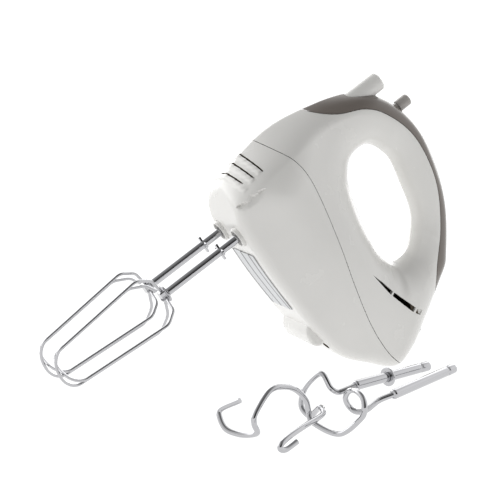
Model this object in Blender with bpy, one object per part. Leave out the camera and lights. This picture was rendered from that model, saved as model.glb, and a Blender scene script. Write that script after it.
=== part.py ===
"""Hand mixer with two whisk beaters and two loose dough hooks.

Every piece of the mixer is drawn in the mixer's own frame, in millimetres: x runs back from the
beaters to the heel, y runs to the right-hand side and z runs up to the handle. The beaters leave
the housing at z = 0 on either side of x = 0. The empty "rest_pose" then leans the whole mixer over
until it rests on its beater tips and on the tip of its heel.
"""

import math

import bmesh
import bpy
import numpy as np
from mathutils import Matrix, Vector

# ---- driving dimensions, in millimetres and degrees -------------------------------------------

REST_TILT = 55.6
REST_X = -17.6
REST_Y = 88.2
REST_Z = 94.24

WALL = 2.6
TRIM_WALL = 2.8
GAP = 0.35

HOLE_CENTRE = (46.0, 102.0)
OUTLINE = [
    (121, 110), (114, 119.5), (104, 126.5), (78, 141), (48, 149.5), (20, 151.5), (-4, 145), (-27, 128),
    (-40, 108), (-47, 84), (-48.5, 55), (-42, 27), (-28, 9), (-12, 3), (20, 2.5), (58, 5),
    (88, 9), (110, 15), (130, 29), (148.0, 51), (147, 64), (136, 86),
]
HANDLE_HOLE = [
    (88.5, 97), (74, 113), (46, 120.5), (21, 121.5), (9, 114), (9, 101), (18, 92),
    (36, 86), (56, 83), (78, 83.5), (88, 87.5),
]
SEAM = [(-70, 36), (-40, 50), (-24, 57), (-8, 59), (12, 57), (40, 52), (72, 46), (104, 43),
        (132, 45), (149.5, 51), (170, 58)]
TRIM_EDGE = [(-64, 78), (-49, 83), (-36, 92), (-26, 105), (-18, 122), (-6, 133), (16, 142),
             (40, 142.5), (62, 137.5), (86, 125), (106, 108.5), (126, 96.5), (150, 86)]

HANDLE_HALF_WIDTH = 16.0
HOLE_EDGE_BLEND = 24.0
SIDE_HALF_WIDTH = 41.0
SIDE_HEIGHT = 51.0
UNDERSIDE_HALF_WIDTH = 28.0
UNDERSIDE_HEIGHT = 4.0

SPINDLE_SPACING = 29.0
EXIT_DEPTH = 46.0
AXIS_HEIGHT = 41.0

WHEEL_TEETH = 24
WHEEL_PITCH_RADIUS = 10.0
WHEEL_WIDTH = 8.0
WORM_PITCH_RADIUS = SPINDLE_SPACING / 2 - WHEEL_PITCH_RADIUS
WORM_PITCH = 2 * math.pi * WHEEL_PITCH_RADIUS / WHEEL_TEETH
TOOTH_RISE = 0.75
BACKLASH = 0.25

SHAFT_RADIUS = 2.5
SLEEVE_RADIUS = 5.5
BORE_RADIUS = 3.3
BEATER_SHAFT_RADIUS = 2.9
COLLAR_Z = -14.4
HUB_Z = -59.0
HUB_BLOCK = 7.2
WIRE_RADIUS = 1.05
LOOP_PROFILE = [(4.608, -62.5), (9.5, -64.0), (17.0, -65.5), (25.0, -75.0), (18.3, -137.0)]
LOOP_TIP_Z = -149.0
LOOP_ANGLE = 22.5

EJECT_X = -22.5
EJECT_TRAVEL = 8.0
EJECT_BUTTON_RADIUS = 6.7
EJECT_FLANGE_LOW = 109.6
SPRING_LOW = 95.3
SPRING_HIGH = 109.3
EJECT_BUTTON_TOP = 146.5
KNOB_X = 1.0
KNOB_TRAVEL = 12.0

SCREW_PLACE = (99.0, 17.0)
SCREW_SEAT = 17.0
BOSS_BASE = 44.5
BOSS_TOP = 70.0

SKIN_COLUMNS = 18
SIDES = {"left": -1, "right": 1}
CURVED_SHELLS = ("lower_housing", "upper_housing", "handle_trim")


# ---- materials --------------------------------------------------------------------------------

def material(name, colour, roughness, metallic=0.0):
    made = bpy.data.materials.new(name)
    made.use_nodes = True
    shader = made.node_tree.nodes["Principled BSDF"]
    shader.inputs["Base Color"].default_value = (*colour, 1.0)
    shader.inputs["Roughness"].default_value = roughness
    shader.inputs["Metallic"].default_value = metallic
    made.diffuse_color = (*colour, 1.0)
    return made


def make_materials():
    return {
        "white": material("white_plastic", (0.80, 0.80, 0.78), 0.25),
        "grey": material("warm_grey_plastic", (0.20, 0.17, 0.155), 0.35),
        "label": material("silver_label", (0.62, 0.64, 0.65), 0.4),
        "black": material("black_plastic", (0.03, 0.03, 0.03), 0.5),
        "brown": material("brown_board", (0.22, 0.12, 0.06), 0.6),
        "nylon": material("white_nylon", (0.75, 0.74, 0.68), 0.45),
        "chrome": material("chrome", (0.75, 0.75, 0.76), 0.08, 1.0),
        "steel": material("steel", (0.48, 0.48, 0.50), 0.35, 1.0),
        "lamination": material("lamination_steel", (0.30, 0.31, 0.33), 0.5, 1.0),
        "copper": material("copper", (0.75, 0.36, 0.18), 0.35, 1.0),
        "bronze": material("sintered_bronze", (0.45, 0.30, 0.15), 0.5, 1.0),
        "brass": material("brass", (0.70, 0.52, 0.22), 0.35, 1.0),
        "carbon": material("carbon", (0.05, 0.05, 0.055), 0.7),
        "rubber": material("rubber", (0.04, 0.04, 0.04), 0.8),
    }


# ---- curves and fields ------------------------------------------------------------------------

def smooth_loop(points, steps):
    """Points along a closed curve through the given ones, with the slope of a parabola at each."""
    points = np.array(points, float)
    ahead = np.roll(points, -1, 0) - points
    length = np.linalg.norm(ahead, axis=1)[:, None]
    slope = ahead / length
    length_before = np.roll(length, 1, 0)
    tangent = (slope * length_before + np.roll(slope, 1, 0) * length) / (length + length_before)
    t = (np.arange(steps) / steps)[None, :, None]
    start, end = points[:, None], np.roll(points, -1, 0)[:, None]
    leave, arrive = (tangent * length)[:, None], (np.roll(tangent, -1, 0) * length)[:, None]
    curve = start * (1 + 2 * t) * (1 - t) ** 2 + leave * t * (1 - t) ** 2
    curve = curve + end * t * t * (3 - 2 * t) + arrive * t * t * (t - 1)
    return curve.reshape(-1, 2)


class PolarCurve:
    """A closed outline round HOLE_CENTRE, read as its radius at any angle."""

    def __init__(self, points):
        self.angles = np.sort(self.polar(np.array(points, float))[0])
        self.table = self.polar(smooth_loop(points, 60))

    def polar(self, points):
        x, z = (points - HOLE_CENTRE).T
        return np.arctan2(z, x) % (2 * math.pi), np.hypot(x, z)

    def radius(self, angle):
        return np.interp(angle, *self.table, period=2 * math.pi)

    def distance(self, angle, r):
        """About how far a point lies outside the outline."""
        here = self.radius(angle)
        turn = (self.radius(angle + 0.01) - self.radius(angle - 0.01)) / 0.02
        return (r - here) * here / np.hypot(here, turn)


OUTER = PolarCurve(OUTLINE)
INNER = PolarCurve(HANDLE_HOLE)


def smooth_max(a, b, blend):
    near = np.clip(1 - np.abs(a - b) / blend, 0, None)
    return np.maximum(a, b) + near * near * blend / 4


def smooth_min(a, b, blend):
    return -smooth_max(-a, -b, blend)


def plane(x, y, z, normal, point):
    """Distance in front of a plane, given its normal and one point of it."""
    nx, ny, nz = np.array(normal) / np.linalg.norm(normal)
    return nx * (x - point[0]) + ny * (y - point[1]) + nz * (z - point[2])


def housing_field(x, y, z):
    """About the distance outside the skin of the closed housing, negative inside it."""
    y = np.abs(y)
    angle = np.arctan2(z - HOLE_CENTRE[1], x - HOLE_CENTRE[0])
    r = np.hypot(x - HOLE_CENTRE[0], z - HOLE_CENTRE[1])
    lean = (SIDE_HEIGHT - UNDERSIDE_HEIGHT, SIDE_HALF_WIDTH - UNDERSIDE_HALF_WIDTH)
    side = plane(x, y, z, (0, lean[0], -lean[1]), (0, SIDE_HALF_WIDTH, SIDE_HEIGHT))
    body = smooth_max(side, plane(x, y, z, (0, 0.97, 0.24), (0, SIDE_HALF_WIDTH, SIDE_HEIGHT)), 12)
    body = smooth_max(body, plane(x, y, z, (0, 0.75, 0.66), (0, 30, 72)), 24)
    body = smooth_max(body, plane(x, y, z, (-0.62, 0.78, 0), (-46, 19, 0)), 12)
    body = smooth_max(body, plane(x, y, z, (0.42, 0.907, 0), (95, 39, 0)), 30)
    lateral = smooth_min(body, y - HANDLE_HALF_WIDTH, 12)
    height = np.clip((z - 15) / 70, 0, 1)
    edge_blend = 7 + 9 * height * height * (3 - 2 * height)
    skin = smooth_max(OUTER.distance(angle, r), lateral, edge_blend)
    return smooth_max(skin, -INNER.distance(angle, r), HOLE_EDGE_BLEND)


def skin_points(angles, turns, depth):
    """Points where rays from the middle of the housing's ring meet the level 'depth' below the skin."""
    angle = angles[:, None]
    turn = turns[None, :]
    inner = INNER.radius(angle)
    outer = OUTER.radius(angle)
    start = inner + 0.45 * (outer - inner)
    along = np.cos(turn) * (outer - inner) / 2
    across = np.sin(turn) * np.clip((outer - inner) / 2, 14, 36)
    length = np.hypot(along, across)
    along = along / length
    across = across / length
    near = np.zeros_like(length)
    far = np.minimum(110.0, (start - 1.0) / np.maximum(-along, 0.001))
    for _ in range(40):
        middle = (near + far) / 2
        r = start + along * middle
        x = HOLE_CENTRE[0] + r * np.cos(angle)
        z = HOLE_CENTRE[1] + r * np.sin(angle)
        inside = housing_field(x, across * middle, z) < -depth
        near = np.where(inside, middle, near)
        far = np.where(inside, far, middle)
    return np.stack([x, across * middle, z], axis=-1)


def smooth_path(points, spacing):
    """Points at even steps along a Catmull-Rom curve through the given ones."""
    points = np.array(points, float)
    ends = np.vstack([2 * points[0] - points[1], points, 2 * points[-1] - points[-2]])
    path = []
    for a, b, c, d in zip(ends, ends[1:], ends[2:], ends[3:]):
        count = max(1, round(np.linalg.norm(c - b) / spacing))
        for t in np.arange(count) / count:
            path.append(0.5 * (2 * b + (c - a) * t + (2 * a - 5 * b + 4 * c - d) * t ** 2
                               + (3 * b - a - 3 * c + d) * t ** 3))
    path.append(points[-1])
    return np.array(path)


def moved_sideways(path, distance):
    """The plane path moved to its left by a distance."""
    along = np.gradient(path, axis=0)
    along /= np.linalg.norm(along, axis=1)[:, None]
    return path + distance * np.stack([-along[:, 1], along[:, 0]], axis=1)


# ---- building objects -------------------------------------------------------------------------

def clear_scene():
    for obj in list(bpy.data.objects):
        bpy.data.objects.remove(obj)


def empty(name, parent=None, location=(0, 0, 0), tilt=0.0):
    made = bpy.data.objects.new(name, None)
    made.parent = parent
    made.location = Vector(location) / 1000
    made.rotation_euler = (0, math.radians(tilt), 0)
    bpy.context.scene.collection.objects.link(made)
    return made


def add_object(name, data, look, parent, origin=(0, 0, 0)):
    made = bpy.data.objects.new(name, data)
    made.parent = parent
    made.location = Vector(origin) / 1000
    if look is not None:
        data.materials.append(look)
    bpy.context.scene.collection.objects.link(made)
    return made


def mesh_object(name, bm, look, parent, origin=(0, 0, 0)):
    """A mesh object from a bmesh drawn in millimetres, with its origin at the given point."""
    bmesh.ops.translate(bm, verts=bm.verts, vec=-Vector(origin))
    bmesh.ops.scale(bm, verts=bm.verts, vec=(0.001, 0.001, 0.001))
    bmesh.ops.recalc_face_normals(bm, faces=bm.faces)
    data = bpy.data.meshes.new(name)
    bm.to_mesh(data)
    bm.free()
    data.shade_smooth()
    data.set_sharp_from_angle(angle=math.radians(35))
    return add_object(name, data, look, parent, origin)


def wire_object(name, path, radius, rings, look, parent, origin=(0, 0, 0)):
    """A round wire along the path, as a curve with a bevel and filled ends."""
    data = bpy.data.curves.new(name, "CURVE")
    data.dimensions = "3D"
    data.bevel_depth = radius / 1000
    data.bevel_resolution = rings
    data.use_fill_caps = True
    spline = data.splines.new("POLY")
    spline.points.add(len(path) - 1)
    for point, place in zip(spline.points, path):
        point.co = (*((Vector(place) - Vector(origin)) / 1000), 1)
    return add_object(name, data, look, parent, origin)


def as_cutter(obj):
    obj.hide_render = True
    obj.display_type = "WIRE"
    return obj


def combine(obj, other, operation):
    """Adds a Boolean. The exact solver leaves open edges on the curved shells, so they use the other."""
    modifier = obj.modifiers.new(operation.lower(), "BOOLEAN")
    modifier.operation = operation
    modifier.object = as_cutter(other)
    modifier.solver = "MANIFOLD" if obj.name in CURVED_SHELLS else "EXACT"


def grid_bmesh(points):
    """A closed skin from a grid of points that wraps round both ways."""
    bm = bmesh.new()
    rows, columns = points.shape[:2]
    verts = [[bm.verts.new(points[i, j]) for j in range(columns)] for i in range(rows)]
    for i in range(rows):
        for j in range(columns):
            corners = (verts[i][j], verts[i - 1][j], verts[i - 1][j - 1], verts[i][j - 1])
            bm.faces.new(corners)
    bmesh.ops.triangulate(bm, faces=bm.faces)
    return bm


def axis_matrix(axis, centre):
    """Takes a shape drawn along +Z round the origin to one along the axis at the centre."""
    turn = Vector((0, 0, 1)).rotation_difference(Vector(axis)).to_matrix().to_4x4()
    return Matrix.Translation(Vector(centre)) @ turn


def lathe(bm, profile, centre=(0, 0, 0), axis=(0, 0, 1), sides=20, closed=False):
    """Turns (radius, height) points round an axis: a closed ring, or a body with flat ends."""
    place = axis_matrix(axis, centre)
    loops = []
    for radius, height in profile:
        angles = [2 * math.pi * k / sides for k in range(sides)]
        ring = [Vector((radius * math.cos(a), radius * math.sin(a), height)) for a in angles]
        loops.append([bm.verts.new(place @ point) for point in ring])
    pairs = list(zip(loops, loops[1:]))
    if closed:
        pairs.append((loops[-1], loops[0]))
    else:
        bm.faces.new(loops[0])
        bm.faces.new(loops[-1])
    for low, high in pairs:
        for k in range(sides):
            bm.faces.new((low[k - 1], low[k], high[k], high[k - 1]))


def tube_profile(inner, outer, low, high):
    return [(outer, low), (outer, high), (inner, high), (inner, low)]


def prism(bm, outline, low, high, centre=(0, 0, 0), axis=(0, 0, 1), twist=0.0):
    """Extrudes a flat outline from low to high along the axis, turning it by the twist."""
    place = axis_matrix(axis, centre)
    ends = []
    for height, angle in ((low, 0.0), (high, twist)):
        turn = Matrix.Rotation(angle, 4, "Z")
        points = [place @ (turn @ Vector((u, v, height))) for u, v in outline]
        ends.append([bm.verts.new(point) for point in points])
    bm.faces.new(ends[0])
    bm.faces.new(ends[1])
    for k in range(len(outline)):
        bm.faces.new((ends[0][k - 1], ends[0][k], ends[1][k], ends[1][k - 1]))


def side_prism(bm, outline, half_width):
    """Extrudes an (x, z) outline to both sides of the mixer's middle plane."""
    ends = [[bm.verts.new((x, y, z)) for x, z in outline] for y in (-half_width, half_width)]
    bm.faces.new(ends[0])
    bm.faces.new(ends[1])
    for k in range(len(outline)):
        bm.faces.new((ends[0][k - 1], ends[0][k], ends[1][k], ends[1][k - 1]))


def box(bm, low, high):
    size = Vector(high) - Vector(low)
    middle = (Vector(high) + Vector(low)) / 2
    matrix = Matrix.Translation(middle) @ Matrix.Diagonal((*size, 1))
    bmesh.ops.create_cube(bm, size=1, matrix=matrix)


def arc(radius, start, end, count):
    angles = np.radians(np.linspace(start, end, count))
    return [(radius * math.cos(a), radius * math.sin(a)) for a in angles]


def shape(draw, *arguments, **options):
    """A bmesh holding one drawn shape."""
    bm = bmesh.new()
    draw(bm, *arguments, **options)
    return bm


def box_object(name, low, high, look, parent, origin=(0, 0, 0)):
    return mesh_object(name, shape(box, low, high), look, parent, origin)


def lathe_object(name, profile, look, parent, centre, axis, sides=20, closed=False, origin=(0, 0, 0)):
    bm = shape(lathe, profile, centre, axis, sides, closed)
    return mesh_object(name, bm, look, parent, origin)


# ---- housing ----------------------------------------------------------------------------------

def skin_object(name, depth, look, parent):
    """The closed skin of the housing, or the surface that far inside it."""
    angles = OUTER.angles
    between = angles + np.diff(angles, append=angles[0] + 2 * math.pi) / 2
    rows = np.sort(np.concatenate([angles, between]))
    columns = 2 * math.pi * np.arange(SKIN_COLUMNS) / SKIN_COLUMNS
    return mesh_object(name, grid_bmesh(skin_points(rows, columns, depth)), look, parent)


def region(path, floor):
    """The flat area between a path across the mixer and a line well above or below it."""
    return [tuple(p) for p in path] + [(path[-1][0], floor), (path[0][0], floor)]


def region_cutter(name, path, floor, parent):
    return mesh_object(name, shape(side_prism, region(path, floor), 70), None, parent)


LOUVRE_HEIGHTS = (21.5, 28.5, 36.0)
LOUVRE_HALF_WIDTH = 26.0
LOUVRE_HALF_HEIGHT = 0.8


def add_nose_louvres(housing, parent):
    for number, height in enumerate(LOUVRE_HEIGHTS):
        low = (-70, -LOUVRE_HALF_WIDTH, height - LOUVRE_HALF_HEIGHT)
        high = (-30, LOUVRE_HALF_WIDTH, height + LOUVRE_HALF_HEIGHT)
        combine(housing, box_object(f"louvre_cutter_{number}", low, high, None, parent), "DIFFERENCE")


VENTS = [
    [(75, 62.2), (97, 67.0), (96.4, 69.8), (86, 66.6)],
    [(98.4, 67.6), (119.5, 75.4), (118.2, 78.8), (97.6, 70.4)],
    [(121, 76.4), (125, 79.0), (123.4, 82.4), (119.6, 79.6)],
]


def add_side_vents(housing, parent):
    """Three slots in each flank under the rear end of the handle, following one curve."""
    for side, sign in SIDES.items():
        for number, outline in enumerate(VENTS):
            bm = shape(side_prism, outline, 12)
            bmesh.ops.translate(bm, verts=bm.verts, vec=(0, sign * 29, 0))
            cutter = mesh_object(f"vent_cutter_{side}_{number}", bm, None, parent)
            combine(housing, cutter, "DIFFERENCE")


def add_bosses(housing, parent):
    """Posts for the two housing screws, and the shelf that the ejector's spring stands on."""
    for side, sign in SIDES.items():
        place = (SCREW_PLACE[0], sign * SCREW_PLACE[1], 0)
        profile = tube_profile(1.9, 4.2, BOSS_BASE, BOSS_TOP)
        post = lathe_object(f"boss_{side}", profile, None, parent, place, (0, 0, 1), 12, True)
        combine(housing, post, "UNION")
    shelf = box_object("spring_shelf", (-29, -14.6, 92), (-16, 14.6, 95), None, parent)
    combine(housing, shelf, "UNION")
    hole = lathe_object("rod_hole", [(2.9, 88), (2.9, 98)], None, parent, (EJECT_X, 0, 0), (0, 0, 1), 12)
    combine(housing, hole, "DIFFERENCE")


def make_housing(looks, parent):
    seam = smooth_path(SEAM, 14)
    trim_edge = smooth_path(TRIM_EDGE, 11)
    upper_edge = moved_sideways(seam, GAP)
    under_trim = moved_sideways(trim_edge, -GAP)

    lower = skin_object("lower_housing", 0, looks["white"], parent)
    combine(lower, region_cutter("below_seam", seam, -60, parent), "INTERSECT")
    combine(lower, skin_object("lower_cavity", WALL, None, parent), "DIFFERENCE")
    add_nose_louvres(lower, parent)
    for side, sign in SIDES.items():
        centre = (0, sign * SPINDLE_SPACING / 2, 0)
        profile = [(7.6, -30), (7.6, 20)]
        hole = lathe_object(f"socket_hole_{side}", profile, None, parent, centre, (0, 0, 1), 20)
        combine(lower, hole, "DIFFERENCE")
        place = (SCREW_PLACE[0], sign * SCREW_PLACE[1], 0)
        profile = [(4.8, 13.6), (4.8, BOSS_BASE - GAP)]
        post = lathe_object(f"screw_post_{side}", profile, None, parent, place, (0, 0, 1), 12)
        combine(lower, post, "UNION")
        seat = SCREW_SEAT + GAP
        profile = [(3.6, -30), (3.6, seat), (1.9, seat), (1.9, 60)]
        hole = lathe_object(f"screw_hole_{side}", profile, None, parent, place, (0, 0, 1), 12)
        combine(lower, hole, "DIFFERENCE")

    upper = skin_object("upper_housing", 0, looks["white"], parent)
    combine(upper, region_cutter("above_seam", upper_edge, 230, parent), "INTERSECT")
    combine(upper, region_cutter("trim_place", under_trim, 230, parent), "DIFFERENCE")
    combine(upper, skin_object("upper_cavity", WALL, None, parent), "DIFFERENCE")
    add_bosses(upper, parent)
    add_side_vents(upper, parent)

    trim = skin_object("handle_trim", 0, looks["grey"], parent)
    combine(trim, region_cutter("above_trim_edge", trim_edge, 230, parent), "INTERSECT")
    combine(trim, skin_object("trim_cavity", TRIM_WALL, None, parent), "DIFFERENCE")
    profile = [(EJECT_BUTTON_RADIUS + 0.5, 100), (EJECT_BUTTON_RADIUS + 0.5, 170)]
    hole = lathe_object("button_hole", profile, None, parent, (EJECT_X, 0, 0), (0, 0, 1), 20)
    combine(trim, hole, "DIFFERENCE")
    low = (KNOB_X - 5.6, -3.2, 130)
    high = (KNOB_X + KNOB_TRAVEL + 5.6, 3.2, 165)
    combine(trim, box_object("knob_slot", low, high, None, parent), "DIFFERENCE")


def make_housing_fittings(looks, parent):
    for side, sign in SIDES.items():
        centre = (0, sign * SPINDLE_SPACING / 2, 0)
        profile = [(5.9, 0.0), (7.2, 0.0), (7.2, 9.4), (7.9, 9.4), (7.9, 10.6), (5.9, 10.6)]
        lathe_object(f"socket_collar_{side}", profile, looks["white"], parent, centre, (0, 0, 1), 18, True)

    columns = np.linspace(16, 64, 5)
    rows = np.linspace(-17, 17, 5)
    levels = [[underside_height(x, y) for y in rows] for x in columns]
    points = []
    for drop in (0.3, 0.8):
        points.append([[(x, y, z - drop) for y, z in zip(rows, line)] for x, line in zip(columns, levels)])
    mesh_object("rating_label", sheet_bmesh(np.array(points)), looks["label"], parent)

    top = [(x, underside_height(x, 0) - GAP) for x in (98, 94, 89, 82)]
    foot = [(82, 5.2), (85.5, 3.0), (94, 3.0), (98, 5.6)] + top
    mesh_object("heel_foot", shape(side_prism, foot, 20.5), looks["white"], parent)

    inlet = (139.5, 0, 76.5)
    direction = (0.87, 0, 0.49)
    hole = lathe_object("inlet_hole", [(6.2, -30), (6.2, 20)], None, parent, inlet, direction, 16)
    combine(bpy.data.objects["upper_housing"], hole, "DIFFERENCE")
    profile = [(3.0, -6), (5.8, -6), (5.8, 0.4), (5.0, 1.2), (3.0, 1.2)]
    lathe_object("cord_grommet", profile, looks["rubber"], parent, inlet, direction, 16, True)

    for side, sign in SIDES.items():
        profile = [(3.1, SCREW_SEAT - 2.4), (3.1, SCREW_SEAT), (1.55, SCREW_SEAT), (1.55, BOSS_BASE + 12)]
        lathe_object(f"housing_screw_{side}", profile, looks["steel"], parent,
                     (SCREW_PLACE[0], sign * SCREW_PLACE[1], 0), (0, 0, 1), 10)


def underside_height(x, y):
    """Height of the skin's underside over (x, y)."""
    low, high = -20.0, 30.0
    for _ in range(40):
        middle = (low + high) / 2
        if housing_field(np.float64(x), np.float64(y), np.float64(middle)) < 0:
            high = middle
        else:
            low = middle
    return high


def sheet_bmesh(points):
    """A thin closed sheet from two layers of a grid of points."""
    bm = bmesh.new()
    layers, rows, columns = points.shape[:3]
    verts = [[[bm.verts.new(points[k, i, j]) for j in range(columns)] for i in range(rows)]
             for k in range(layers)]
    for k in range(layers):
        for i in range(rows - 1):
            for j in range(columns - 1):
                near, far = verts[k][i], verts[k][i + 1]
                bm.faces.new((near[j], far[j], far[j + 1], near[j + 1]))
    rim = [(i, 0) for i in range(rows)] + [(rows - 1, j) for j in range(1, columns)]
    rim += [(i, columns - 1) for i in range(rows - 2, -1, -1)] + [(0, j) for j in range(columns - 2, 0, -1)]
    for (i, j), (m, n) in zip(rim, rim[1:] + rim[:1]):
        bm.faces.new((verts[0][i][j], verts[0][m][n], verts[1][m][n], verts[1][i][j]))
    return bm


# ---- motor ------------------------------------------------------------------------------------

def motor_axis(x=0.0):
    return (x, 0, AXIS_HEIGHT)


ALONG = (1, 0, 0)


def sector(inner, outer, middle, spread, count):
    """A ring sector's outline round the motor axis, its middle at an angle in degrees."""
    outside = arc(outer, middle - spread, middle + spread, count)
    inside = arc(inner, middle + spread, middle - spread, count)
    return outside + inside


def make_motor(looks, parent):
    stack = tube_profile(23, 28, 38, 66)
    bm = shape(lathe, stack, motor_axis(), ALONG, 24, True)
    core = mesh_object("stator_core", bm, looks["lamination"], parent)
    for side, sign in SIDES.items():
        outline = [(z, y) for y, z in sector(15.6, 25, 90 - 90 * sign, 52, 8)]
        pole = mesh_object(f"pole_{side}", shape(prism, [(-u, v) for u, v in outline], 38, 66, motor_axis(),
                                                 ALONG), None, parent)
        combine(core, pole, "UNION")
    for number, name in enumerate(("upper", "lower")):
        outline = sector(16.4, 22.4, 180 * number + 180, 30, 5)
        bm = shape(prism, outline, 33, 71, motor_axis(), ALONG)
        mesh_object(f"field_coil_{name}", bm, looks["copper"], parent)

    bracket = box_object("motor_bracket", (66.4, -7, 64), (94.5, 7, 67), looks["steel"], parent)
    for name, low, high in (("bracket_low_arm", (66.4, -7, 15), (94.5, 7, 18)),
                            ("bracket_plate", (90.5, -9, 15.5), (94.4, 9, 66.5))):
        combine(bracket, box_object(name, low, high, None, parent), "UNION")
    combine(bracket, lathe_object("rear_bearing_hole", [(6.4, 80), (6.4, 100)], None, parent, motor_axis(),
                                  ALONG, 16), "DIFFERENCE")
    for name, low in (("front_bearing", -17.0), ("rear_bearing", 90.5)):
        lathe_object(name, tube_profile(SHAFT_RADIUS + 0.35, 6.0, low, low + 4), looks["bronze"], parent,
                     motor_axis(), ALONG, 16, True)
    for side, sign in SIDES.items():
        ends = sorted((sign * 11.0, sign * 27.0))
        low = (75, ends[0], AXIS_HEIGHT - 5)
        high = (85, ends[1], AXIS_HEIGHT + 5)
        holder = box_object(f"brush_holder_{side}", low, high, looks["brass"], parent)
        inside = sorted((sign * 5.0, sign * 25.5))
        low = (76.4, inside[0], AXIS_HEIGHT - 3.6)
        high = (83.6, inside[1], AXIS_HEIGHT + 3.6)
        combine(holder, box_object(f"brush_channel_{side}", low, high, None, parent), "DIFFERENCE")
        brush = sorted((sign * 8.5, sign * 17.5))
        low = (76.8, brush[0], AXIS_HEIGHT - 3.2)
        high = (83.2, brush[1], AXIS_HEIGHT + 3.2)
        box_object(f"carbon_brush_{side}", low, high, looks["carbon"], parent)
        coil = coil_path(2.4, 7.0, 3.5, 8)
        path = [(80 + u, sign * (18.1 + w), AXIS_HEIGHT + v) for u, v, w in coil]
        wire_object(f"brush_spring_{side}", path, 0.35, 0, looks["steel"], parent)


def coil_path(radius, length, turns, steps):
    """Points along a coil round the origin, each as two offsets from its axis and a height."""
    count = round(turns * steps)
    path = []
    for k in range(count + 1):
        angle = 2 * math.pi * k / steps
        path.append((radius * math.cos(angle), radius * math.sin(angle), length * k / count))
    return path


def worm_bmesh():
    """A right-handed single-start worm, its rows of points following the thread."""
    per_turn, sides = 5, 12
    shares = (0.0, 0.42, 0.56, 0.84, 0.98)
    raised = (False, False, True, True, False)
    root = WORM_PITCH_RADIUS - 1.0
    tip = WORM_PITCH_RADIUS + TOOTH_RISE
    turns = 7
    start = -3.7 * WORM_PITCH
    bm = bmesh.new()
    rows = []
    for i in range(turns * per_turn):
        turn, step = divmod(i, per_turn)
        threaded = 1 <= turn < turns - 1
        radius = tip if raised[step] and threaded else root
        row = []
        for j in range(sides):
            angle = 2 * math.pi * j / sides
            x = start + (turn + shares[step] + j / sides) * WORM_PITCH
            y = radius * math.cos(angle)
            z = radius * math.sin(angle)
            row.append(bm.verts.new((x, y, AXIS_HEIGHT + z)))
        rows.append(row)

    def vert(i, j):
        return rows[i + per_turn][0] if j == sides else rows[i][j]

    last = len(rows) - per_turn - 1
    for i in range(last):
        for j in range(sides):
            bm.faces.new((vert(i, j), vert(i, j + 1), vert(i + 1, j + 1), vert(i + 1, j)))
    for row, x in ((0, start - 1.0), (last, start + (turns + 0.2) * WORM_PITCH)):
        rim = [vert(row, j) for j in range(sides + 1)]
        rim += [vert(row + k, 0) for k in range(per_turn - 1, 0, -1)]
        tip_point = bm.verts.new((x, 0, AXIS_HEIGHT))
        for a, b in zip(rim, rim[1:] + rim[:1]):
            bm.faces.new((a, b, tip_point))
    return bm


def make_armature(looks, parent):
    origin = motor_axis()
    shaft = lathe_object("armature_shaft", [(SHAFT_RADIUS, -18), (SHAFT_RADIUS, 97)], looks["steel"], parent,
                         motor_axis(), ALONG, 14, origin=origin)
    combine(shaft, mesh_object("worm_thread", worm_bmesh(), None, parent, origin), "UNION")

    outline = []
    for k in range(12):
        angle = 30 * k
        outline += arc(14.8, angle - 11, angle + 11, 2)
        outline += arc(10.5, angle + 13, angle + 17, 2)
    bm = shape(prism, outline, 40, 64, motor_axis(), ALONG)
    core = mesh_object("armature_core", bm, looks["lamination"], parent, origin)
    combine(core, bore_cutter("core_bore", 36, 68, parent), "DIFFERENCE")
    for name, low, high in (("front", 34.5, 39.6), ("rear", 64.4, 69.5)):
        profile = [(SHAFT_RADIUS + 0.35, low + 1), (9.0, low), (12.5, (low + high) / 2), (9.0, high),
                   (SHAFT_RADIUS + 0.35, high)]
        profile.reverse()
        lathe_object(f"{name}_end_winding", profile, looks["copper"], parent, motor_axis(), ALONG, 16, True,
                     origin)
    lathe_object("commutator", tube_profile(SHAFT_RADIUS + 0.35, 8.0, 73, 87), looks["copper"], parent,
                 motor_axis(), ALONG, 20, True, origin)

    blades = []
    for k in range(10):
        blades += arc(23.5, 36 * k - 2.5, 36 * k + 2.5, 2)
        blades += arc(7.0, 36 * k + 10, 36 * k + 26, 2)
    bm = shape(prism, blades, 20.5, 29.5, motor_axis(), ALONG)
    fan = mesh_object("cooling_fan", bm, looks["black"], parent, origin)
    profile = [(23.5, 28.5), (23.5, 30)]
    disc = lathe_object("fan_disc", profile, None, parent, motor_axis(), ALONG, 20, origin=origin)
    combine(fan, disc, "UNION")
    combine(fan, bore_cutter("fan_bore", 16, 34, parent), "DIFFERENCE")


def bore_cutter(name, low, high, parent):
    return lathe_object(name, [(SHAFT_RADIUS + 0.35, low), (SHAFT_RADIUS + 0.35, high)], None, parent,
                        motor_axis(), ALONG, 14, origin=motor_axis())


# ---- gearbox and spindles ---------------------------------------------------------------------

def make_gear_frame(looks, parent):
    frame = box_object("gear_frame", (-21, -24, 27), (17, 24, 30), looks["steel"], parent)
    for name, low, high in (("frame_front_wall", (-21, -13, 28), (-12.8, 13, 49.5)),
                            ("frame_rear_wall", (13.2, -24, 28), (17, 24, 49.5))):
        combine(frame, box_object(name, low, high, None, parent), "UNION")
    for name, radius, low, high in (("front_bearing_hole", 6.35, -30, -8), ("shaft_hole", 4.2, 8, 24)):
        hole = lathe_object(name, [(radius, low), (radius, high)], None, parent, motor_axis(), ALONG, 16)
        combine(frame, hole, "DIFFERENCE")
    for side, sign in SIDES.items():
        radius = SLEEVE_RADIUS + 0.35
        centre = (0, sign * SPINDLE_SPACING / 2, 0)
        profile = [(radius, 20), (radius, 36)]
        hole = lathe_object(f"sleeve_hole_{side}", profile, None, parent, centre, (0, 0, 1), 20)
        combine(frame, hole, "DIFFERENCE")


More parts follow.
